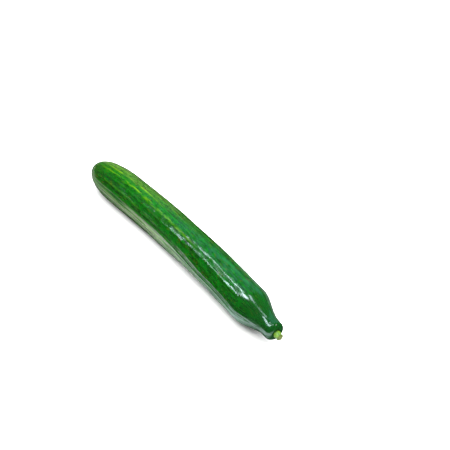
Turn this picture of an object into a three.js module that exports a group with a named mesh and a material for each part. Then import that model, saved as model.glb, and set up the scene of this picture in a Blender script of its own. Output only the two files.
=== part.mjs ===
import * as THREE from 'three';

// A long cucumber with the stub of its stem, lying on its side.
// Millimetres, +Z up. The fruit runs along X, with its blossom end at -X and its stem at +X,
// and it bows gently towards +Y. It rests on a flattened strip of its underside at z = 0.

// Outline of the fruit
const FRUIT_LENGTH = 350;
const BODY_RADIUS = 22;
const BLOSSOM_SLIMNESS = 0.2;
const SLIM_LENGTH = 150;
const BLOSSOM_ROUNDING = 64;
const BLOSSOM_BLUNTNESS = 3.1;
const NECK_RADIUS = 11.2;
const NECK_LENGTH = 12;
const SHOULDER_LENGTH = 54;
const END_ROUNDING = 7;

// How it bends and lies
const SIDEWAYS_BOW = 9.6;
const NECK_TURN = 0.6;
const END_LIFT = 0.8;
const REST_DEPTH = 0.6;
const SMALL_STEP = 0.1;

// Ridges along the skin
const RIDGE_COUNT = 20;
const RIDGE_HEIGHT = 0.5;
const RIDGE_SHARPNESS = 2;
const RIDGE_TURN = 0.08;
const RIB_COUNT = 10;
const RIB_HEIGHT = 0.15;
const SIDE_COUNT = 3;
const SIDE_HEIGHT = 0.25;
const RIDGE_WANDER = 0.03;
const WANDER_LENGTH = 120;
const TWIST = 0.49;
const TWIST_START = 80;
const TWIST_LENGTH = 260;
const BLOSSOM_FADE = 60;
const SHOULDER_FADE = 100;
const END_RELIEF = 0.12;

// Lobes round the stem, and the scar of the blossom
const LOBE_COUNT = 5;
const LOBE_HEIGHT = 0.15;
const LOBE_LENGTH = 26;
const SCAR_RADIUS = 4;
const SCAR_DEPTH = 0.9;

// Stem
const STEM_RADIUS = 4;
const STEM_LENGTH = 5.5;
const STEM_WAIST = 0.35;
const STEM_RIDGE_HEIGHT = 0.28;
const STEM_EDGE = 0.8;
const CUT_BULGE = 0.5;
const SOCKET_DEPTH = 2.6;
const SOCKET_GAP = 0.3;

// Fineness of the mesh
const FRUIT_SIDES = 80;
const BLOSSOM_RINGS = 18;
const BLOSSOM_CROWDING = 1.3;
const BODY_RINGS = 30;
const SHOULDER_RINGS = 12;
const END_RINGS = 5;
const STEM_SIDES = 30;
const STEM_RINGS = 5;

// 0 below zero, 1 above one and an even, smooth rise between.
function smooth(t) {
  return THREE.MathUtils.smoothstep(t, 0, 1);
}

// Radius of the plain fruit at a distance from its blossom end, before any relief.
function fruitRadius(along) {
  const fromStem = FRUIT_LENGTH - along;
  const body = BODY_RADIUS - BLOSSOM_SLIMNESS * (1 - smooth(along / SLIM_LENGTH));
  const widening = smooth((fromStem - NECK_LENGTH) / (SHOULDER_LENGTH - NECK_LENGTH));
  const blossom = 1 - Math.min(along / BLOSSOM_ROUNDING, 1);
  const end = 1 - Math.min(fromStem / END_ROUNDING, 1);
  return THREE.MathUtils.lerp(NECK_RADIUS, body, widening)
    * Math.sqrt(1 - blossom ** BLOSSOM_BLUNTNESS)
    * Math.sqrt(1 - end ** 2);
}

// The angle counted along the ridges. They twist slowly round the fruit towards its stem and wander a bit.
function ridgeAngle(along, angle) {
  const twist = TWIST * smooth((along - TWIST_START) / TWIST_LENGTH);
  const wander = RIDGE_WANDER * Math.sin(2 * Math.PI * along / WANDER_LENGTH + 2 * angle);
  return angle + RIDGE_TURN - twist + wander;
}

// Height of the skin's relief: narrow ridges with wide troughs between them, every other one a little higher.
// It fades at both ends.
function skinRelief(along, angle) {
  const fromStem = FRUIT_LENGTH - along;
  const turned = ridgeAngle(along, angle);
  const ridges = RIDGE_HEIGHT * (0.5 + 0.5 * Math.cos(RIDGE_COUNT * turned)) ** RIDGE_SHARPNESS;
  const ribs = RIB_HEIGHT * Math.cos(RIB_COUNT * turned);
  const sides = SIDE_HEIGHT * Math.cos(SIDE_COUNT * angle);
  const strength = Math.min(smooth(along / BLOSSOM_FADE), smooth(fromStem / SHOULDER_FADE));
  const lobes = LOBE_HEIGHT * Math.cos(LOBE_COUNT * angle) * smooth(1 - fromStem / LOBE_LENGTH);
  return THREE.MathUtils.lerp(END_RELIEF, 1, strength) * (ridges + ribs + sides) + lobes;
}

// Height of the ridges along the stem, which line up with the lobes round it.
function stemRelief(along, angle) {
  return STEM_RIDGE_HEIGHT * Math.cos(LOBE_COUNT * angle);
}

// The point of the fruit's centreline at a distance from the blossom end. It runs on through the stem.
function centreline(along) {
  const fromMiddle = (along - FRUIT_LENGTH / 2) / (FRUIT_LENGTH / 2);
  const alongNeck = Math.max(1 - (FRUIT_LENGTH - along) / SHOULDER_LENGTH, 0);
  return new THREE.Vector3(
    along - FRUIT_LENGTH / 2,
    SIDEWAYS_BOW * (1 - fromMiddle ** 2) + NECK_TURN * alongNeck ** 2,
    BODY_RADIUS - REST_DEPTH + END_LIFT * fromMiddle ** 2,
  );
}

// A point at a radius from the centreline and an angle round it, 0 towards +Y and a quarter turn at the top.
// The sections stand upright, square to the centreline as seen from above.
function bowedPoint(along, radius, angle) {
  const ahead = centreline(along + SMALL_STEP).sub(centreline(along - SMALL_STEP));
  const sideways = new THREE.Vector3(-ahead.y, ahead.x, 0).normalize();
  const point = centreline(along).addScaledVector(sideways, radius * Math.cos(angle));
  point.z = Math.max(point.z + radius * Math.sin(angle), 0);
  return point;
}

// A profile turned round the centreline, with a relief raised on it and the underside kept off z < 0.
// Each point of the profile holds its radius, its distance along and its share of the relief.
function turnedAlongBow(profile, sides, relief) {
  const geometry = new THREE.LatheGeometry(profile, sides);
  const position = geometry.getAttribute('position');
  for (let i = 0; i < position.count; i += 1) {
    const { x: plainRadius, y: along, z: share } = profile[i % profile.length];
    const angle = Math.atan2(position.getX(i), position.getZ(i));
    const radius = plainRadius + share * relief(along, angle);
    const point = bowedPoint(along, radius, angle);
    position.setXYZ(i, point.x, point.y, point.z);
  }
  geometry.computeVertexNormals();
  return geometry;
}

// Distances from the blossom end where the fruit has a ring of vertices, crowded where it closes.
function fruitStations() {
  const shoulderStart = FRUIT_LENGTH - SHOULDER_LENGTH;
  const endStart = FRUIT_LENGTH - END_ROUNDING;
  const stations = [];
  for (let i = 1; i < BLOSSOM_RINGS; i += 1) {
    const turn = Math.PI / 2 * (i / BLOSSOM_RINGS) ** BLOSSOM_CROWDING;
    stations.push(BLOSSOM_ROUNDING * (1 - Math.cos(turn)));
  }
  for (let i = 0; i < BODY_RINGS; i += 1) {
    stations.push(THREE.MathUtils.lerp(BLOSSOM_ROUNDING, shoulderStart, i / BODY_RINGS));
  }
  for (let i = 0; i < SHOULDER_RINGS; i += 1) {
    stations.push(THREE.MathUtils.lerp(shoulderStart, endStart, i / SHOULDER_RINGS));
  }
  return stations;
}

// How far the scar sinks the blossom end at a radius from its tip.
function scarDepth(radius) {
  return SCAR_DEPTH * (1 - smooth(radius / SCAR_RADIUS));
}

// From the blossom's scar over the body and the rounded end down into the socket of the stem.
// The relief dies out towards the scar and towards the socket's mouth.
function fruitProfile() {
  const points = [new THREE.Vector3(0, SCAR_DEPTH, 0)];
  for (const along of fruitStations()) {
    const radius = fruitRadius(along);
    points.push(new THREE.Vector3(radius, along + scarDepth(radius), smooth(radius / SCAR_RADIUS)));
  }
  const socketRadius = STEM_RADIUS + SOCKET_GAP;
  const lipTurn = Math.acos(socketRadius / NECK_RADIUS);
  for (let i = 0; i <= END_RINGS; i += 1) {
    const turn = lipTurn * i / END_RINGS;
    const along = FRUIT_LENGTH - END_ROUNDING * (1 - Math.sin(turn));
    points.push(new THREE.Vector3(NECK_RADIUS * Math.cos(turn), along, 1 - i / END_RINGS));
  }
  points.push(new THREE.Vector3(socketRadius, FRUIT_LENGTH - SOCKET_DEPTH, 0));
  points.push(new THREE.Vector3(0, FRUIT_LENGTH - SOCKET_DEPTH, 0));
  return points;
}

function makeFruit() {
  const geometry = turnedAlongBow(fruitProfile(), FRUIT_SIDES, skinRelief);
  const material = new THREE.MeshStandardMaterial({ color: 0x1e6a1c, roughness: 0.3, metalness: 0 });
  const fruit = new THREE.Mesh(geometry, material);
  fruit.name = 'fruit';
  return fruit;
}

// From the root in the socket up the side to the bulging cut. The root is round, the rest is ridged.
function stemProfile() {
  const root = FRUIT_LENGTH - SOCKET_DEPTH + SOCKET_GAP;
  const cut = FRUIT_LENGTH + STEM_LENGTH;
  const points = [new THREE.Vector3(0, root, 0), new THREE.Vector3(STEM_RADIUS, root, 0)];
  for (let i = 0; i <= STEM_RINGS; i += 1) {
    const part = i / STEM_RINGS;
    const waist = STEM_WAIST * Math.sin(Math.PI * part);
    const along = THREE.MathUtils.lerp(FRUIT_LENGTH, cut - STEM_EDGE, part);
    points.push(new THREE.Vector3(STEM_RADIUS - waist, along, part));
  }
  points.push(new THREE.Vector3(STEM_RADIUS - STEM_EDGE, cut, 1));
  points.push(new THREE.Vector3(0, cut + CUT_BULGE, 0));
  return points;
}

function makeStem() {
  const geometry = turnedAlongBow(stemProfile(), STEM_SIDES, stemRelief);
  const material = new THREE.MeshStandardMaterial({ color: 0x8fb83a, roughness: 0.55, metalness: 0 });
  const stem = new THREE.Mesh(geometry, material);
  stem.name = 'stem';
  return stem;
}

// The origin is on the resting surface, under the middle of the whole.
function makeCucumber() {
  const cucumber = new THREE.Group();
  cucumber.add(makeFruit(), makeStem());
  const middle = new THREE.Box3().setFromObject(cucumber, true).getCenter(new THREE.Vector3());
  cucumber.position.set(-middle.x, -middle.y, 0);
  return cucumber;
}

export default makeCucumber();
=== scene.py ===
import math

import bpy
import numpy as np
from mathutils import Matrix, Vector, noise


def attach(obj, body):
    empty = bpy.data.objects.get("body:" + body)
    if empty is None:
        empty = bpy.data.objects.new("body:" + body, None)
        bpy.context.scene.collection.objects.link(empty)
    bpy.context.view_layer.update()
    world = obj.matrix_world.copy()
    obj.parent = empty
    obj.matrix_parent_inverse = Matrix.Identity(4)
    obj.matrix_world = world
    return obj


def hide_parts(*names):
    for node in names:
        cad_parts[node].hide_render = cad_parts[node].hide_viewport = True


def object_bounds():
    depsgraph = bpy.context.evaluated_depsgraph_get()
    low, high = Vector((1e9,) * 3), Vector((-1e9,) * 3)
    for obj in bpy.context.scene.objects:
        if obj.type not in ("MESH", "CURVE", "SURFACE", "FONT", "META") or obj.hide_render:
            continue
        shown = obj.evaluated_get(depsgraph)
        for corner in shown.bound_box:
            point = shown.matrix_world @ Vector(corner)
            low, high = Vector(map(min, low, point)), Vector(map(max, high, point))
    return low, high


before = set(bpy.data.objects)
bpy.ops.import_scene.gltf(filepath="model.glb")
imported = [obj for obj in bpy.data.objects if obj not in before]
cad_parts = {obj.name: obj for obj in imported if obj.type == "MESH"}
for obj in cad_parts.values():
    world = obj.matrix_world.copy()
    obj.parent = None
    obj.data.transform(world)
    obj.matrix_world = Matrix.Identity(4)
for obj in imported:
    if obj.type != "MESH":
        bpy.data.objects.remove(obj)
cad_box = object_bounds()

# A long cucumber with the stub of its stem, lying on its side on a white surface.
# Metres, +Z up. The blossom end is at -X, the stem at +X, and the fruit bows gently towards +Y.
# Each piece is drawn out straight along X, ring by ring. Then its relief is raised, and it is bent
# and laid down.

MM = 0.001

# Outline of the fruit, the same as the frame's
FRUIT_LENGTH = 350 * MM
BODY_RADIUS = 22 * MM
BLOSSOM_SLIMNESS = 0.2 * MM
SLIM_LENGTH = 150 * MM
BLOSSOM_ROUNDING = 64 * MM
BLOSSOM_BLUNTNESS = 3.1
NECK_RADIUS = 11.2 * MM
NECK_LENGTH = 12 * MM
SHOULDER_LENGTH = 54 * MM
END_ROUNDING = 7 * MM

# How it bends and lies
SIDEWAYS_BOW = 9.6 * MM
NECK_TURN = 0.6 * MM
END_LIFT = 0.8 * MM
REST_DEPTH = 0.6 * MM

# Ridges along the skin, in the same places as the frame's but with narrower crests
RIDGE_COUNT = 20
RIDGE_HEIGHT = 0.55 * MM
RIDGE_SHARPNESS = 3
RIDGE_TURN = 0.08
RIB_COUNT = 10
RIB_HEIGHT = 0.15 * MM
SIDE_COUNT = 3
SIDE_HEIGHT = 0.25 * MM
RIDGE_WANDER = 0.03
WANDER_LENGTH = 120 * MM
TWIST = 0.49
TWIST_START = 80 * MM
TWIST_LENGTH = 260 * MM
BLOSSOM_FADE = 60 * MM
SHOULDER_FADE = 100 * MM
END_RELIEF = 0.12

# High on the fruit, from a distance on, the ridges keep only a share of their height. The height over the
# middle of the fruit at which this starts, and the rise over which it grows, are shares of the radius.
RIDGE_EASE = 0.15
EASE_START = 115 * MM
EASE_LENGTH = 60 * MM
EASE_HEIGHT = 0.5
EASE_RISE = 0.3

# Lobes round the stem, and the scar of the blossom
LOBE_COUNT = 5
LOBE_HEIGHT = 0.15 * MM
LOBE_LENGTH = 26 * MM
SCAR_RADIUS = 4 * MM
SCAR_DEPTH = 0.9 * MM
SCAR_FOLDS = 9
SCAR_FOLD_HEIGHT = 0.12 * MM

# Fine relief that the frame doesn't have: the length and width of its patches, the seed of each noise,
# and how far they rise and fall
DENT_SIZE = (55 * MM, 16 * MM)
DENT_SEED = 11
DENT_HEIGHT = 0.08 * MM
WRINKLE_SIZE = (28 * MM, 2.2 * MM)
WRINKLE_SEED = 23
WRINKLE_HEIGHT = 0.16 * MM
BEAD_SIZE = (7 * MM, 3.6 * MM)
BEAD_SEED = 37
BEAD_HEIGHT = 0.035 * MM
UNEVEN_SIZE = (30 * MM, 7 * MM)
UNEVEN_SEED = 3
UNEVEN_SHARE = 0.5
MEANDER_SIZE = (24 * MM, 9 * MM)
MEANDER_SEED = 53
MEANDER_TURN = 0.014
NOISE_STRETCH = 1.7

# The share of the wrinkles left high on the fruit, and the height at which it is reached, a share of the
# radius over the middle
UPPER_WRINKLES = 0.1
UPPER_HEIGHT = 0.6

# Yellow-green streaks on the crests, each of its own strength and reach.
# Two on the lit side are the brightest.
STREAK_SEED = 4
STREAK_WIDTH = 1.15 * MM
STREAK_FAINTEST = 0
STREAK_STRONGEST = 0.15
STREAK_SHORTEST = 60 * MM
STREAK_LONGEST = 230 * MM
STREAK_END = 50 * MM
BRIGHT_CRESTS = [5, 6]
BRIGHT_STRENGTHS = [0.9, 0.85]
BRIGHT_REACHES = [115 * MM, 190 * MM]

# Where a coloured side has faded out, as a share of its length
SIDE_REACH = 1.2

# Paler, yellower skin on the upper side towards the blossom end, partly skin colour and partly a painted
# sheen
RIPE_AND_SHEEN_SIDE = math.radians(64)
RIPE_AND_SHEEN_WIDTH = math.radians(22)
RIPE_AND_SHEEN_LENGTH = 190 * MM

# Painted light: brighter green painted along the lit side, fading towards the stem
LIT_SIDE = math.radians(101)
LIT_SIDE_WIDTH = math.radians(13)
LIT_SIDE_LENGTH = 230 * MM

# A pale band painted along the side towards -Y as the skin's reflection of the white floor, counted along the
# ridges as an angle
FLOOR_REFLECTION_SIDE = math.radians(182)
FLOOR_REFLECTION_WIDTH = math.radians(15)

# Stem
STEM_RADIUS = 4 * MM
STEM_LENGTH = 5.5 * MM
STEM_WAIST = 0.35 * MM
STEM_RIDGE_HEIGHT = 0.28 * MM
STEM_EDGE = 0.8 * MM
STEM_FLARE = 0.5 * MM
STEM_FLARE_FALL = 4
CUT_BULGE = 0.5 * MM
SOCKET_DEPTH = 2.6 * MM
SOCKET_GAP = 0.3 * MM

# Rings over the rounded edge and the bulging face of the cut: how far past the edge each one stands,
# and its radius
CUT_RINGS = (
    (-STEM_EDGE / 3, STEM_RADIUS - STEM_EDGE / 4),
    (0, STEM_RADIUS - STEM_EDGE),
    (CUT_BULGE / 4, STEM_RADIUS * 0.62),
    (CUT_BULGE / 2, STEM_RADIUS * 0.3),
)

# Fineness of the meshes
FRUIT_SIDES = 80
BLOSSOM_RINGS = 16
BLOSSOM_CROWDING = 1.3
BODY_RINGS = 38
SHOULDER_RINGS = 12
END_RINGS = 5
STEM_SIDES = 30
STEM_RINGS = 7
SUBDIVISIONS = 2
RING_TOLERANCE = MM / 1000

# Colours of the skin and the stem, as red, green and blue from 0 to 255
DARK_GREEN = (3, 33, 2)
LEAF_GREEN = (8, 59, 2)
CLOUD_GREEN = (2, 57, 14)
BRIGHT_GREEN = (0, 92, 8)
FLECK_OLIVE = (56, 60, 5)
CREST_AND_SHADE_GREEN = (18, 94, 12)
LINE_GREEN = (14, 88, 14)
RIPE_AND_SHEEN_GREEN = (80, 114, 44)
LIT_SIDE_GREEN = (6, 96, 4)
FLOOR_REFLECTION_GREEN = (98, 124, 74)
STREAK_YELLOW = (86, 130, 8)
NECK_GREEN = (7, 50, 15)
BLOSSOM_GREEN = (60, 98, 34)
CORK_BROWN = (138, 116, 72)
STEM_DARK = (36, 74, 8)
STEM_LIGHT = (104, 142, 26)
CUT_OLIVE = (80, 96, 32)
PITH_OLIVE = (122, 134, 66)

# Patterns of noise: the length and width of their patches, the values of the noise at which they start
# and are full, and its detail and roughness where they aren't the usual ones
MOTTLE = {"size": (5 * MM, 1.8 * MM), "values": (0.38, 0.62), "detail": 3, "roughness": 0.6}
FINE_LINES = {"size": (60 * MM, 1.4 * MM), "values": (0.42, 0.58)}
BREAKS = {"size": (13 * MM, 3 * MM), "values": (0.4, 0.6), "detail": 4, "roughness": 0.7}
SMEARS = {"size": (18 * MM, 6 * MM), "values": (0.35, 0.65), "detail": 3}
DASHES = {"size": (10 * MM, 2.2 * MM), "values": (0.42, 0.56), "detail": 3}
FIBRES = {"size": (9 * MM, 0.7 * MM), "values": (0.35, 0.65), "detail": 4}
CLOUDS = {"size": (26 * MM, 8 * MM), "values": (0.4, 0.6)}
BRIGHT_PATCHES = {"size": (9 * MM, 3.5 * MM), "values": (0.52, 0.62)}
OLIVE_FLECKS = {"size": (7 * MM, 3 * MM), "values": (0.58, 0.7)}
LONG_LINES = {"size": (70 * MM, 2.2 * MM), "values": (0.42, 0.6)}

# Pores of the skin
PORE_SIZE = (1.1 * MM, 0.7 * MM)
PORE_DEPTH = 0.1 * MM
PORE_STRENGTH = 0.12

# Strengths of the skin's colours, a pair being those at the start and at the end of what it follows
CLOUD_STRENGTH = 0.55
BRIGHT_STRENGTH = 0.42
FLECK_STRENGTH = 0.55
LINE_STRENGTH = 0.28
CREST_AND_SHADE_STRENGTH = 0.25
RIPE_AND_SHEEN_STRENGTH = (0.2, 0.62)
LIT_SIDE_STRENGTH = (0.25, 0.7)
FLOOR_REFLECTION_STRENGTH = (0, 0.62)
NECK_STRENGTH = (0, 0.75)
NECK_COLOUR_START = FRUIT_LENGTH - 80 * MM
NECK_COLOUR_END = FRUIT_LENGTH - 10 * MM
BLOSSOM_STRENGTH = (0.2, 0)
BLOSSOM_COLOUR_END = 50 * MM

# Gloss of the skin: its roughness, how strongly the upper and the lower side mirror, and the heights
# over the middle of the fruit between which the one turns into the other
SKIN_ROUGHNESS = (0.09, 0.16)
UPPER_GLOSS = (0.2, 0.75)
LOWER_GLOSS = (0.3, 1)
GLOSS_CHANGE = (0.1 * BODY_RADIUS, 0.4 * BODY_RADIUS)

# Fibres and pith of the stem
FIBRE_DEPTH = 0.15 * MM
FIBRE_STRENGTH = 0.4
STEM_ROUGHNESS = 0.45
PITH_RADIUS = (0.5 * MM, 3 * MM)
PITH_STRENGTH = 0.5

# Camera, at the photograph's angle, and the brightness of the white room, also as the skin mirrors it
CAMERA_AZIMUTH = 53
CAMERA_ELEVATION = 41
CAMERA_DISTANCE = 1.4
CAMERA_AIM = Vector((-0.0191, 0.0693, 0))
CAMERA_LENS = 95.5
ROOM_STRENGTH = 0.68
MIRRORED_ROOM_STRENGTH = 0.05

# The floor, and how bright and how tinted the skin mirrors it. A band runs along X or Y from one place
# to another, with its value at each. The values of the two edges are the Y up to which the front is dark.
FLOOR_SIZE = 8
FLOOR_WHITE = 0.9
FLOOR_ROUGHNESS = 0.9
FLOOR_GLOSS = 0.1
FRONT_EDGE = ("X", -0.1, 0.04, -0.125, -0.072)
NECK_EDGE = ("X", 0.08, 0.15, 0, -0.08)
FRONT_SOFTNESS = 0.07
FRONT_WHITE = 0.02
# Painted contact shadow in what the skin mirrors: how bright the floor under the fruit stays along X
CONTACT_SHADE_BAND = ("X", -0.08, 0.04, 0.05, 0.7)
NECK_CONTACT_SHADE_BAND = ("X", 0.115, 0.15, 1, 0.08)
BLOSSOM_BAND = ("X", -0.18, -0.02, 0.3, 1)
# The Y over which the painted contact shadow under the fruit sets in
CONTACT_SHADE_START = -0.032
CONTACT_SHADE_END = -0.02
FAR_BAND = ("Y", 0, 0.03, 1, 0.2)
LEFT_BAND = ("X", -0.34, -0.24, 0.16, 0)
LEFT_FRONT_BAND = ("Y", -0.07, 0, 0.1, 1)
RED_BAND = ("X", -0.12, 0.1, 0.9, 0.78)
BLUE_BAND = ("X", -0.12, 0.1, 0.78, 0.98)
GREEN_TINT = 0.94

# Panels that give the light and aren't mirrored: name, size, place and radiance
SOFT_PANELS = (
    ("overhead_panel", (2.2, 2.2), (0, 0, 1.6), 5.7),
    ("panel_behind", (1.4, 1.0), (0.3, 1.1, 1.2), 6.5),
)

# Panels that are mirrored as well: name, size, place, aim, radiance and colour
MIRRORED_PANELS = (
    ("left_panel", (0.7, 0.5), (-1.1, 0.75, 0.25), (-0.1, 0, 0), 0.5, (0.8, 1, 0.35)),
    ("back_panel", (0.4, 0.2), (0.8, 0.6, 1.0), (0, 0, 0.03), 10, (1, 1, 1)),
)

# Lights that are only mirrored: name, width, the places on the skin that mirror each end, radiance and
# colour. A place is a distance from the blossom end and an angle in degrees.
LIGHT_DISTANCE = 1.2
SMALL_STEP = 0.1 * MM
SMALL_TURN = 0.0001
WHITE_LIGHT = (0.72, 0.9, 1)
SKY_LIGHT = (0.3, 0.9, 1)
STRIP_LIGHTS = (
    ("upper_strip", 0.08, (258 * MM, 110), (297 * MM, 105), 24, WHITE_LIGHT),
    ("upper_faint_strip", 0.02, (226 * MM, 106), (250 * MM, 109), 24, WHITE_LIGHT),
    ("lower_strip", 0.025, (244 * MM, 121), (284 * MM, 127), 34, WHITE_LIGHT),
    ("faint_strip", 0.01, (170 * MM, 112), (215 * MM, 119), 4, WHITE_LIGHT),
    ("shoulder_strip", 0.12, (303 * MM, 100), (322 * MM, 104), 12, WHITE_LIGHT),
    ("neck_strip", 0.25, (330 * MM, 111), (344 * MM, 117), 24, WHITE_LIGHT),
    ("sky_panel", 1.7, (165 * MM, 84), (301 * MM, 84), 0.3, SKY_LIGHT),
    ("wider_sky_panel", 1.7, (125 * MM, 82), (302 * MM, 82), 0.25, SKY_LIGHT),
    ("widest_sky_panel", 1.7, (70 * MM, 80), (304 * MM, 80), 0.2, SKY_LIGHT),
)


def smooth(t):
    """0 below zero, 1 above one and an even, smooth rise between."""
    t = np.clip(t, 0, 1)
    return t * t * (3 - 2 * t)


def lerp(low, high, share):
    return low + (high - low) * share


def deselect_all():
    bpy.ops.object.select_all(action="DESELECT")


def select_ring(mesh, along):
    """Selects the ring of vertices that stands at that distance along X."""
    bpy.ops.object.mode_set(mode="OBJECT")
    places = read_points(mesh)[:, 0]
    mesh.vertices.foreach_set("select", np.isclose(places, along, atol=RING_TOLERANCE))
    bpy.ops.object.mode_set(mode="EDIT")


def close_ring():
    """Closes the selected open ring with a fan of faces."""
    bpy.ops.mesh.extrude_region_move(TRANSFORM_OT_translate={"value": (0, 0, 0)})
    bpy.ops.mesh.merge(type="CENTER")


def draw_out(name, sides, rings):
    """A closed piece along X: one circle, extruded and resized at each distance and radius in turn."""
    deselect_all()
    along, radius = rings[0]
    bpy.ops.mesh.primitive_circle_add(
        vertices=sides, radius=radius, location=(along, 0, 0), rotation=(0, math.pi / 2, 0))
    piece = bpy.context.object
    piece.name = name
    bpy.ops.object.transform_apply(location=True, rotation=True, scale=True)
    bpy.ops.object.mode_set(mode="EDIT")
    bpy.ops.mesh.select_mode(type="VERT")
    bpy.ops.mesh.select_all(action="SELECT")
    for next_along, next_radius in rings[1:]:
        bpy.ops.mesh.extrude_region_move(TRANSFORM_OT_translate={"value": (next_along - along, 0, 0)})
        growth = next_radius / radius
        bpy.ops.transform.resize(value=(1, growth, growth), center_override=(next_along, 0, 0))
        along, radius = next_along, next_radius
    close_ring()
    select_ring(piece.data, rings[0][0])
    close_ring()
    bpy.ops.mesh.select_all(action="SELECT")
    bpy.ops.mesh.normals_make_consistent(inside=False)
    bpy.ops.object.mode_set(mode="OBJECT")
    return piece


def subdivide(piece):
    modifier = piece.modifiers.new("subdivision", "SUBSURF")
    modifier.levels = SUBDIVISIONS
    modifier.render_levels = SUBDIVISIONS
    bpy.ops.object.modifier_apply(modifier=modifier.name)
    bpy.ops.object.shade_smooth()


def read_points(mesh):
    points = np.empty(len(mesh.vertices) * 3)
    mesh.vertices.foreach_get("co", points)
    return points.reshape(-1, 3)


def write_points(mesh, points):
    mesh.vertices.foreach_set("co", points.ravel())
    mesh.update()


def keep_values(mesh, name, values):
    """Stores one number, or one vector, for each vertex where a material can read it."""
    kind, key = ("FLOAT", "value") if values.ndim == 1 else ("FLOAT_VECTOR", "vector")
    mesh.attributes.new(name, kind, "POINT").data.foreach_set(key, values.ravel())


def fruit_radius(along):
    """Radius of the plain fruit at a distance from its blossom end, before any relief."""
    from_stem = FRUIT_LENGTH - along
    body = BODY_RADIUS - BLOSSOM_SLIMNESS * (1 - smooth(along / SLIM_LENGTH))
    widening = smooth((from_stem - NECK_LENGTH) / (SHOULDER_LENGTH - NECK_LENGTH))
    blossom = 1 - min(along / BLOSSOM_ROUNDING, 1)
    return lerp(NECK_RADIUS, body, widening) * math.sqrt(1 - blossom ** BLOSSOM_BLUNTNESS)


def fruit_rings():
    """Distance and radius of each ring, from the blossom end over the body and into the socket."""
    shoulder_start = FRUIT_LENGTH - SHOULDER_LENGTH
    end_start = FRUIT_LENGTH - END_ROUNDING
    stations = []
    for i in range(1, BLOSSOM_RINGS):
        turn = math.pi / 2 * (i / BLOSSOM_RINGS) ** BLOSSOM_CROWDING
        stations.append(BLOSSOM_ROUNDING * (1 - math.cos(turn)))
    for i in range(BODY_RINGS):
        stations.append(lerp(BLOSSOM_ROUNDING, shoulder_start, i / BODY_RINGS))
    for i in range(SHOULDER_RINGS):
        stations.append(lerp(shoulder_start, end_start, i / SHOULDER_RINGS))
    rings = [(along, fruit_radius(along)) for along in stations]
    socket_radius = STEM_RADIUS + SOCKET_GAP
    lip_turn = math.acos(socket_radius / NECK_RADIUS)
    for i in range(END_RINGS + 1):
        turn = lip_turn * i / END_RINGS
        rings.append((FRUIT_LENGTH - END_ROUNDING * (1 - math.sin(turn)), NECK_RADIUS * math.cos(turn)))
    rings.append((FRUIT_LENGTH - SOCKET_DEPTH, socket_radius))
    return rings


def patches(place, size, seed):
    """Smooth random values from about -1 to 1, in patches of that length and width."""
    length, width = size
    scaled = place / (length, width, width) + seed
    return np.array([noise.noise(point) for point in scaled]) * NOISE_STRETCH


def unrolled(along, angle):
    """Places on a straight cylinder as thick as the body, for patterns that follow the bent skin."""
    return np.column_stack((along, BODY_RADIUS * np.cos(angle), BODY_RADIUS * np.sin(angle)))


def ridge_angle(along, angle):
    """The angle counted along the ridges. They twist slowly towards the stem, wander and meander."""
    twist = TWIST * smooth((along - TWIST_START) / TWIST_LENGTH)
    wander = RIDGE_WANDER * np.sin(2 * np.pi * along / WANDER_LENGTH + 2 * angle)
    meander = MEANDER_TURN * patches(unrolled(along, angle), MEANDER_SIZE, MEANDER_SEED)
    return angle + RIDGE_TURN - twist + wander + meander


def crest_height(turned, place):
    """How high the ridges stand, from 0 in the troughs to about 1, each stretch a little higher or lower."""
    crest = (0.5 + 0.5 * np.cos(RIDGE_COUNT * turned)) ** RIDGE_SHARPNESS
    return crest * (1 + UNEVEN_SHARE * (patches(place, UNEVEN_SIZE, UNEVEN_SEED) - 1) / 2)


def fine_relief(place, angle):
    """Dents, wrinkles and beads, all pressed into the skin, so that none stands proud of the crests."""
    dents = DENT_HEIGHT * (patches(place, DENT_SIZE, DENT_SEED) - 1)
    wrinkles = WRINKLE_HEIGHT * (patches(place, WRINKLE_SIZE, WRINKLE_SEED) - 1)
    beads = BEAD_HEIGHT * (patches(place, BEAD_SIZE, BEAD_SEED) - 1)
    return dents + wrinkles * lerp(1, UPPER_WRINKLES, smooth(np.sin(angle) / UPPER_HEIGHT)) + beads


def streak_strength(along, turned):
    """How yellow the skin is: a thin line on each crest, each of its own strength and reach."""
    crest_angle = 2 * np.pi / RIDGE_COUNT
    crest = np.round(turned / crest_angle)
    off_crest = (turned - crest * crest_angle) * BODY_RADIUS
    chance = np.random.default_rng(STREAK_SEED)
    strengths = chance.uniform(STREAK_FAINTEST, STREAK_STRONGEST, RIDGE_COUNT)
    reaches = chance.uniform(STREAK_SHORTEST, STREAK_LONGEST, RIDGE_COUNT)
    strengths[BRIGHT_CRESTS] = BRIGHT_STRENGTHS
    reaches[BRIGHT_CRESTS] = BRIGHT_REACHES
    number = crest.astype(int) % RIDGE_COUNT
    line = np.exp(-(off_crest / STREAK_WIDTH) ** 2)
    return strengths[number] * line * smooth((reaches[number] - along) / STREAK_END + 0.5)


def floor_reflection_band(turned):
    """How strongly the painted reflection of the floor pales the skin: most along the middle of the side
    towards -Y, and less beside it.
    """
    off_side = np.mod(turned - FLOOR_REFLECTION_SIDE + np.pi, 2 * np.pi) - np.pi
    return np.exp(-(off_side / FLOOR_REFLECTION_WIDTH) ** 2)


def coloured_side(along, angle, side, width, length):
    """How strong a colour is that runs along one side of the fruit and fades out towards the stem."""
    return np.exp(-((angle - side) / width) ** 2) * smooth(SIDE_REACH - along / length)


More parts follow.
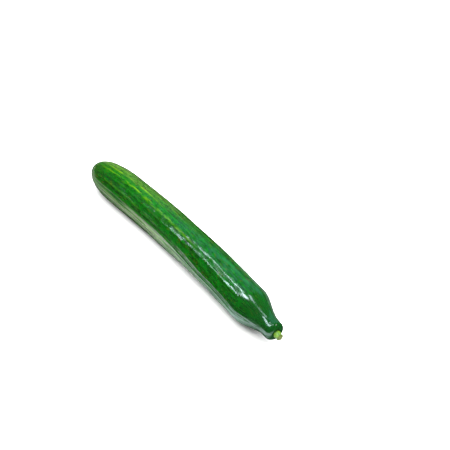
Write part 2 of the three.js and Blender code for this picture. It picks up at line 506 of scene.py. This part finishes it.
def centreline(along):
    from_middle = (along - FRUIT_LENGTH / 2) / (FRUIT_LENGTH / 2)
    along_neck = np.maximum(1 - (FRUIT_LENGTH - along) / SHOULDER_LENGTH, 0)
    bow = SIDEWAYS_BOW * (1 - from_middle ** 2) + NECK_TURN * along_neck ** 2
    slope = -4 * SIDEWAYS_BOW * from_middle / FRUIT_LENGTH + 2 * NECK_TURN * along_neck / SHOULDER_LENGTH
    height = BODY_RADIUS - REST_DEPTH + END_LIFT * from_middle ** 2
    return bow, slope, height


def bowed(along, radius, angle):
    """Points at a radius from the bowed centreline, with the underside kept on the resting surface."""
    bow, slope, height = centreline(along)
    turn = np.arctan(slope)
    out = radius * np.cos(angle)
    x = along - FRUIT_LENGTH / 2 - out * np.sin(turn)
    y = bow + out * np.cos(turn)
    z = np.maximum(height + radius * np.sin(angle), 0)
    return np.column_stack((x, y, z))


def polar(points):
    """Distance along X, radius and angle round X, 0 towards +Y and a quarter turn at the top."""
    return points[:, 0], np.hypot(points[:, 1], points[:, 2]), np.arctan2(points[:, 2], points[:, 1])


def raise_skin(fruit):
    """Raises the relief of the skin, keeps what its material needs, and bends the fruit along its bow."""
    along, radius, angle = polar(read_points(fruit.data))
    from_stem = FRUIT_LENGTH - along
    turned = ridge_angle(along, angle)
    place = unrolled(along, turned)
    crest = crest_height(turned, place)
    towards_stem = smooth((along - EASE_START) / EASE_LENGTH)
    upper_side = smooth((np.sin(angle) - EASE_HEIGHT) / EASE_RISE)
    eased = lerp(1, RIDGE_EASE, towards_stem * upper_side)
    ribs = RIB_HEIGHT * np.cos(RIB_COUNT * turned)
    sides = SIDE_HEIGHT * np.cos(SIDE_COUNT * angle)
    ends = np.minimum(smooth(along / BLOSSOM_FADE), smooth(from_stem / SHOULDER_FADE))
    strength = lerp(END_RELIEF, 1, ends)
    lobes = LOBE_HEIGHT * np.cos(LOBE_COUNT * angle) * smooth(1 - from_stem / LOBE_LENGTH)
    socket_radius = STEM_RADIUS + SOCKET_GAP
    at_blossom = smooth(radius / SCAR_RADIUS)
    at_stem = smooth((radius - socket_radius) / (NECK_RADIUS - socket_radius))
    share = np.where(along < FRUIT_LENGTH / 2, at_blossom, at_stem)
    relief = strength * (eased * (RIDGE_HEIGHT * crest + ribs) + sides + fine_relief(place, angle)) + lobes
    in_scar = np.where(along < FRUIT_LENGTH / 2, 1 - at_blossom, 0)
    # Times four, the product is 1 halfway between the middle of the scar and its edge
    folds = SCAR_FOLD_HEIGHT * np.cos(SCAR_FOLDS * angle) * in_scar * at_blossom * 4
    sunk = along + SCAR_DEPTH * in_scar + folds
    keep_values(fruit.data, "straight", place)
    keep_values(fruit.data, "crest", crest * ends)
    keep_values(fruit.data, "streak", streak_strength(along, turned) * ends)
    keep_values(fruit.data, "scar", in_scar)
    # The painted reflection of the white floor: a pale band along the side towards -Y
    keep_values(fruit.data, "floor_reflection", floor_reflection_band(turned) * ends)
    # The paler upper side: partly skin colour, partly a painted sheen
    keep_values(fruit.data, "ripe_and_sheen", coloured_side(along, angle, RIPE_AND_SHEEN_SIDE, RIPE_AND_SHEEN_WIDTH, RIPE_AND_SHEEN_LENGTH))
    # Where brighter green is painted along the lit side, as painted light
    painted_lit_side = coloured_side(along, angle, LIT_SIDE, LIT_SIDE_WIDTH, LIT_SIDE_LENGTH)
    keep_values(fruit.data, "painted_lit_side", painted_lit_side * ends)
    write_points(fruit.data, bowed(sunk, radius + share * relief, angle))


def make_fruit():
    fruit = draw_out("fruit_skin", FRUIT_SIDES, fruit_rings())
    subdivide(fruit)
    raise_skin(fruit)
    return fruit


def stem_rings():
    """From the root in the socket over the flare that covers the gap, up the side and over the cut face."""
    root = FRUIT_LENGTH - SOCKET_DEPTH + SOCKET_GAP
    cut = FRUIT_LENGTH + STEM_LENGTH
    rings = [(root, STEM_RADIUS), (FRUIT_LENGTH - SOCKET_DEPTH / 2, STEM_RADIUS)]
    for i in range(STEM_RINGS + 1):
        part = i / STEM_RINGS
        waist = STEM_WAIST * math.sin(math.pi * part)
        flare = STEM_FLARE * (1 - part) ** STEM_FLARE_FALL
        rings.append((lerp(FRUIT_LENGTH, cut - STEM_EDGE, part), STEM_RADIUS - waist + flare))
    for past_edge, radius in CUT_RINGS:
        rings.append((cut + past_edge, radius))
    return rings


def shape_stem(stem):
    along, radius, angle = polar(read_points(stem.data))
    outside = smooth((along - FRUIT_LENGTH) / STEM_LENGTH) * smooth(radius / STEM_RADIUS)
    relief = STEM_RIDGE_HEIGHT * np.cos(LOBE_COUNT * angle) * outside
    straight = np.column_stack((along, radius * np.cos(angle), radius * np.sin(angle)))
    keep_values(stem.data, "straight", straight)
    keep_values(stem.data, "distance", radius)
    write_points(stem.data, bowed(along, radius + relief, angle))


def make_stem():
    stem = draw_out("stem_stub", STEM_SIDES, stem_rings())
    subdivide(stem)
    shape_stem(stem)
    return stem


def settle(pieces):
    """Moves the pieces together so that the middle of their box stands where the frame's does."""
    points = np.vstack([read_points(piece.data) for piece in pieces])
    middle = (points.min(axis=0) + points.max(axis=0)) / 2
    low, high = (np.array(corner) for corner in cad_box)
    shift = (low + high) / 2 - middle
    shift[2] = 0
    for piece in pieces:
        write_points(piece.data, np.clip(read_points(piece.data) + shift, low, high))


def screen_colour(values):
    """The colour that a screen shows for red, green and blue from 0 to 255, by its usual curve."""
    shares = [value / 255 for value in values]
    linear = [s / 12.92 if s <= 0.04045 else ((s + 0.055) / 1.055) ** 2.4 for s in shares]
    return (*linear, 1)


class Finish:
    """A procedural material: most methods add one node and give back its output."""

    # Sockets of a mix node that carry its two colours and its result
    FIRST_COLOUR = 6
    SECOND_COLOUR = 7
    MIXED_COLOUR = 2

    def __init__(self, name):
        self.material = bpy.data.materials.new(name)
        self.material.use_nodes = True
        self.tree = self.material.node_tree
        self.shader = self.tree.nodes["Principled BSDF"]

    def add(self, kind, **settings):
        node = self.tree.nodes.new(kind)
        for name, value in settings.items():
            setattr(node, name, value)
        return node

    def feed(self, socket, value):
        """Joins an output to the socket, or sets a plain number or colour on it."""
        if isinstance(value, bpy.types.NodeSocket):
            self.tree.links.new(value, socket)
        else:
            socket.default_value = value

    def attribute(self, name, output="Fac"):
        return self.add("ShaderNodeAttribute", attribute_name=name).outputs[output]

    def parts(self, vector):
        split = self.add("ShaderNodeSeparateXYZ")
        self.feed(split.inputs["Vector"], vector)
        return split.outputs

    def noise(self, place, size, detail=2, roughness=0.5):
        """A noise of patches of that length and width, from about 0.3 to 0.7."""
        length, width = size
        stretch = self.add("ShaderNodeMapping")
        stretch.inputs["Scale"].default_value = (1 / length, 1 / width, 1 / width)
        self.feed(stretch.inputs["Vector"], place)
        noise_node = self.add("ShaderNodeTexNoise")
        noise_node.inputs["Scale"].default_value = 1
        noise_node.inputs["Detail"].default_value = detail
        noise_node.inputs["Roughness"].default_value = roughness
        self.feed(noise_node.inputs["Vector"], stretch.outputs["Vector"])
        return noise_node.outputs["Fac"]

    def between(self, value, low, high, to_low=0, to_high=1):
        """Turns a value between low and high smoothly into one between to_low and to_high."""
        node = self.add("ShaderNodeMapRange", interpolation_type="SMOOTHSTEP")
        names = ("Value", "From Min", "From Max", "To Min", "To Max")
        for name, given in zip(names, (value, low, high, to_low, to_high)):
            self.feed(node.inputs[name], given)
        return node.outputs["Result"]

    def maths(self, operation, first, second):
        node = self.add("ShaderNodeMath", operation=operation)
        self.feed(node.inputs[0], first)
        self.feed(node.inputs[1], second)
        return node.outputs["Value"]

    def mix(self, share, first, second):
        node = self.add("ShaderNodeMix", data_type="RGBA")
        self.feed(node.inputs["Factor"], share)
        self.feed(node.inputs[self.FIRST_COLOUR], first)
        self.feed(node.inputs[self.SECOND_COLOUR], second)
        return node.outputs[self.MIXED_COLOUR]

    def times(self, first, second):
        return self.maths("MULTIPLY", first, second)

    def pattern(self, place, size, values, to_values=(0, 1), **fineness):
        """A noise stretched smoothly between two of its values."""
        return self.between(self.noise(place, size, **fineness), *values, *to_values)

    def painted(self, colour, cover, strength, paint):
        """The colour with another one over it, at that strength where the cover is full."""
        return self.mix(self.times(cover, strength), colour, screen_colour(paint))

    def band(self, place, stretch):
        """The value of a band at a place: even before and after it, and changing smoothly along it."""
        axis, start, end, first, last = stretch
        return self.between(place[axis], start, end, first, last)

    def bump(self, height, distance, strength):
        node = self.add("ShaderNodeBump")
        node.inputs["Distance"].default_value = distance
        node.inputs["Strength"].default_value = strength
        self.feed(node.inputs["Height"], height)
        self.feed(self.shader.inputs["Normal"], node.outputs["Normal"])

    def put_on(self, piece):
        piece.data.materials.clear()
        piece.data.materials.append(self.material)


def skin_colour(skin, place, fine_lines):
    """Mottled green with yellow streaks, a bluish neck and a scar, with painted sheen on the paler upper
    side, painted light on the lit side, a painted floor reflection along the side towards -Y, and crests
    painted lighter, partly as relief shade.
    """
    along = skin.parts(place)["X"]
    mottle = skin.pattern(place, **MOTTLE)
    colour = skin.mix(mottle, screen_colour(DARK_GREEN), screen_colour(LEAF_GREEN))
    colour = skin.painted(colour, skin.pattern(place, **CLOUDS), CLOUD_STRENGTH, CLOUD_GREEN)
    colour = skin.painted(colour, skin.pattern(place, **BRIGHT_PATCHES), BRIGHT_STRENGTH, BRIGHT_GREEN)
    colour = skin.painted(colour, skin.pattern(place, **OLIVE_FLECKS), FLECK_STRENGTH, FLECK_OLIVE)
    # Crests painted lighter than the troughs: partly skin colour, partly painted relief shade
    colour = skin.painted(colour, skin.attribute("crest"), CREST_AND_SHADE_STRENGTH, CREST_AND_SHADE_GREEN)
    colour = skin.painted(colour, skin.pattern(place, **LONG_LINES), LINE_STRENGTH, LINE_GREEN)
    # Paler upper side, partly a painted sheen
    ripe_and_sheen = skin.between(mottle, 0, 1, *RIPE_AND_SHEEN_STRENGTH)
    colour = skin.painted(colour, skin.attribute("ripe_and_sheen"), ripe_and_sheen, RIPE_AND_SHEEN_GREEN)
    # Painted light: the lit side is painted a brighter green
    painted_lit_side = skin.between(mottle, 0, 1, *LIT_SIDE_STRENGTH)
    colour = skin.painted(colour, skin.attribute("painted_lit_side"), painted_lit_side, LIT_SIDE_GREEN)
    # Painted reflection of the white floor, broken into fine lines
    floor_reflection = skin.between(fine_lines, 0, 1, *FLOOR_REFLECTION_STRENGTH)
    colour = skin.painted(colour, skin.attribute("floor_reflection"), floor_reflection, FLOOR_REFLECTION_GREEN)
    breaks = skin.pattern(place, **BREAKS)
    colour = skin.painted(colour, skin.attribute("streak"), breaks, STREAK_YELLOW)
    neck = skin.between(along, NECK_COLOUR_START, NECK_COLOUR_END, *NECK_STRENGTH)
    colour = skin.mix(neck, colour, screen_colour(NECK_GREEN))
    blossom = skin.between(along, 0, BLOSSOM_COLOUR_END, *BLOSSOM_STRENGTH)
    colour = skin.mix(blossom, colour, screen_colour(BLOSSOM_GREEN))
    return skin.mix(skin.attribute("scar"), colour, screen_colour(CORK_BROWN))


def skin_gloss(skin, place, fine_lines):
    """Waxy gloss, broken into dashes on the upper side and into fine lines on the lower."""
    dashes = skin.pattern(place, **DASHES, to_values=UPPER_GLOSS)
    lines = skin.between(fine_lines, 0, 1, *LOWER_GLOSS)
    low_side = skin.between(skin.parts(place)["Z"], *GLOSS_CHANGE, 1, 0)
    return skin.between(low_side, 0, 1, dashes, lines)


def skin_finish():
    """Glossy mottled green skin."""
    skin = Finish("cucumber_skin")
    place = skin.attribute("straight", "Vector")
    fine_lines = skin.pattern(place, **FINE_LINES)
    skin.feed(skin.shader.inputs["Base Color"], skin_colour(skin, place, fine_lines))
    smears = skin.pattern(place, **SMEARS, to_values=SKIN_ROUGHNESS)
    skin.feed(skin.shader.inputs["Roughness"], smears)
    skin.feed(skin.shader.inputs["Specular IOR Level"], skin_gloss(skin, place, fine_lines))
    skin.bump(skin.noise(place, PORE_SIZE), PORE_DEPTH, PORE_STRENGTH)
    return skin


def stem_finish():
    """Satin yellow-green stem with darker lines, and a drier olive cut face."""
    stem = Finish("cut_stem")
    place = stem.attribute("straight", "Vector")
    along = stem.parts(place)["X"]
    fibres = stem.pattern(place, **FIBRES)
    colour = stem.mix(fibres, screen_colour(STEM_DARK), screen_colour(STEM_LIGHT))
    cut_start = FRUIT_LENGTH + STEM_LENGTH - STEM_EDGE
    cut = stem.between(along, cut_start, cut_start + STEM_EDGE)
    colour = stem.mix(cut, colour, screen_colour(CUT_OLIVE))
    pith = stem.between(stem.attribute("distance"), *PITH_RADIUS, PITH_STRENGTH, 0)
    colour = stem.mix(pith, colour, screen_colour(PITH_OLIVE))
    stem.feed(stem.shader.inputs["Base Color"], colour)
    stem.shader.inputs["Roughness"].default_value = STEM_ROUGHNESS
    stem.bump(fibres, FIBRE_DEPTH, FIBRE_STRENGTH)
    return stem


def mirrored_floor(floor, place):
    """How bright the skin mirrors each part of the floor, as if screens stood in front, behind and beside,
    and darker under the fruit as a painted contact shadow.
    """
    front = floor.maths("ADD", floor.band(place, FRONT_EDGE), floor.band(place, NECK_EDGE))
    front_end = floor.maths("ADD", front, FRONT_SOFTNESS)
    in_front = floor.between(place["Y"], front, front_end, FRONT_WHITE, 1)
    # Under the fruit the mirrored floor is painted darker: a painted contact shadow
    contact_shade_level = floor.times(floor.band(place, CONTACT_SHADE_BAND), floor.band(place, NECK_CONTACT_SHADE_BAND))
    contact_shade = floor.between(place["Y"], CONTACT_SHADE_START, CONTACT_SHADE_END, 1, contact_shade_level)
    beyond = floor.times(floor.band(place, BLOSSOM_BAND), floor.band(place, FAR_BAND))
    near = floor.times(floor.times(in_front, contact_shade), beyond)
    left = floor.times(floor.band(place, LEFT_BAND), floor.band(place, LEFT_FRONT_BAND))
    return floor.maths("MAXIMUM", near, left)


def floor_finish():
    """A matt white floor that the glossy skin mirrors dimmer than it is."""
    floor = Finish("white_floor")
    place = floor.parts(floor.add("ShaderNodeTexCoord").outputs["Object"])
    mirrored = floor.add("ShaderNodeLightPath").outputs["Is Glossy Ray"]
    white = floor.between(mirrored, 0, 1, FLOOR_WHITE, mirrored_floor(floor, place))
    colour = floor.add("ShaderNodeCombineColor")
    red = floor.band(place, RED_BAND)
    blue = floor.band(place, BLUE_BAND)
    for channel, tint in (("Red", red), ("Green", GREEN_TINT), ("Blue", blue)):
        mirrored_tint = floor.between(mirrored, 0, 1, 1, tint)
        floor.feed(colour.inputs[channel], floor.times(white, mirrored_tint))
    floor.feed(floor.shader.inputs["Base Color"], colour.outputs["Color"])
    floor.shader.inputs["Roughness"].default_value = FLOOR_ROUGHNESS
    floor.shader.inputs["Specular IOR Level"].default_value = FLOOR_GLOSS
    return floor


def make_floor():
    deselect_all()
    bpy.ops.mesh.primitive_plane_add(size=FLOOR_SIZE)
    floor = bpy.context.object
    floor.name = "floor"
    floor_finish().put_on(floor)


def softbox(name, size, place, aim, radiance, colour):
    """A rectangular light of that width, height, radiance and colour, turned towards its aim."""
    data = bpy.data.lights.new(name, "AREA")
    data.shape = "RECTANGLE"
    data.size, data.size_y = size
    data.energy = radiance * math.pi * data.size * data.size_y
    data.color = colour
    light = bpy.data.objects.new(name, data)
    bpy.context.scene.collection.objects.link(light)
    light.location = place
    light.rotation_euler = (Vector(aim) - Vector(place)).to_track_quat("-Z", "Y").to_euler()
    light.visible_camera = False
    return light


def hanging_place(along, angle):
    """Where a light hangs that the plain skin mirrors into the camera at that distance and angle."""
    along_nearby = np.array((along, along + SMALL_STEP, along))
    angle_nearby = np.radians(angle) + np.array((0, 0, SMALL_TURN))
    radii = np.array([fruit_radius(distance) for distance in along_nearby])
    here, ahead, beside = (Vector(point) for point in bowed(along_nearby, radii, angle_nearby))
    normal = (beside - here).cross(ahead - here).normalized()
    to_camera = (bpy.context.scene.camera.location - here).normalized()
    return here + (2 * normal.dot(to_camera) * normal - to_camera) * LIGHT_DISTANCE


def strip_light(name, width, first, last, radiance, colour):
    """A long light between the hanging places of its two ends. It is mirrored and lights nothing."""
    ends = [hanging_place(*place) for place in (first, last)]
    middle = (ends[0] + ends[1]) / 2
    size = ((ends[1] - ends[0]).length, width)
    light = softbox(name, size, middle, (0, 0, 0), radiance, colour)
    across = (ends[1] - ends[0]).normalized()
    backwards = (middle - across * middle.dot(across)).normalized()
    light.rotation_euler = Matrix((across, backwards.cross(across), backwards)).transposed().to_euler()
    light.visible_diffuse = False


def make_room():
    """A white room that the skin mirrors only dimly, as if dark screens stood round it out of sight."""
    world = bpy.data.worlds.new("white_room")
    world.use_nodes = True
    tree = world.node_tree
    mirrored = tree.nodes.new("ShaderNodeLightPath").outputs["Is Glossy Ray"]
    strength = tree.nodes.new("ShaderNodeMapRange")
    strength.inputs["To Min"].default_value = ROOM_STRENGTH
    strength.inputs["To Max"].default_value = MIRRORED_ROOM_STRENGTH
    tree.links.new(mirrored, strength.inputs["Value"])
    tree.links.new(strength.outputs["Result"], tree.nodes["Background"].inputs["Strength"])
    tree.nodes["Background"].inputs["Color"].default_value = (1, 1, 1, 1)
    bpy.context.scene.world = world


def make_studio():
    """Wide panels give the light. The strips, and two smaller panels, are there for the skin to mirror."""
    for name, size, place, radiance in SOFT_PANELS:
        panel = softbox(name, size, place, (0, 0, 0), radiance, (1, 1, 1))
        panel.visible_glossy = False
    for strip in STRIP_LIGHTS:
        strip_light(*strip)
    for panel in MIRRORED_PANELS:
        softbox(*panel)
    make_room()
    bpy.context.scene.view_settings.view_transform = "Standard"


def make_camera():
    azimuth = math.radians(CAMERA_AZIMUTH)
    elevation = math.radians(CAMERA_ELEVATION)
    level = math.cos(elevation)
    back = Vector((math.sin(azimuth) * level, -math.cos(azimuth) * level, math.sin(elevation)))
    data = bpy.data.cameras.new("camera")
    data.lens = CAMERA_LENS
    camera = bpy.data.objects.new("camera", data)
    bpy.context.scene.collection.objects.link(camera)
    camera.location = CAMERA_AIM + back * CAMERA_DISTANCE
    camera.rotation_euler = (-back).to_track_quat("-Z", "Y").to_euler()
    bpy.context.scene.camera = camera


def dress(piece, finish, node):
    """Gives the piece its finish and sets it in the place of its node in the frame."""
    finish.put_on(piece)
    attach(piece, "root")
    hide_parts(node)


make_camera()
make_studio()
make_floor()
fruit = make_fruit()
stem = make_stem()
settle((fruit, stem))
dress(fruit, skin_finish(), "fruit")
dress(stem, stem_finish(), "stem")
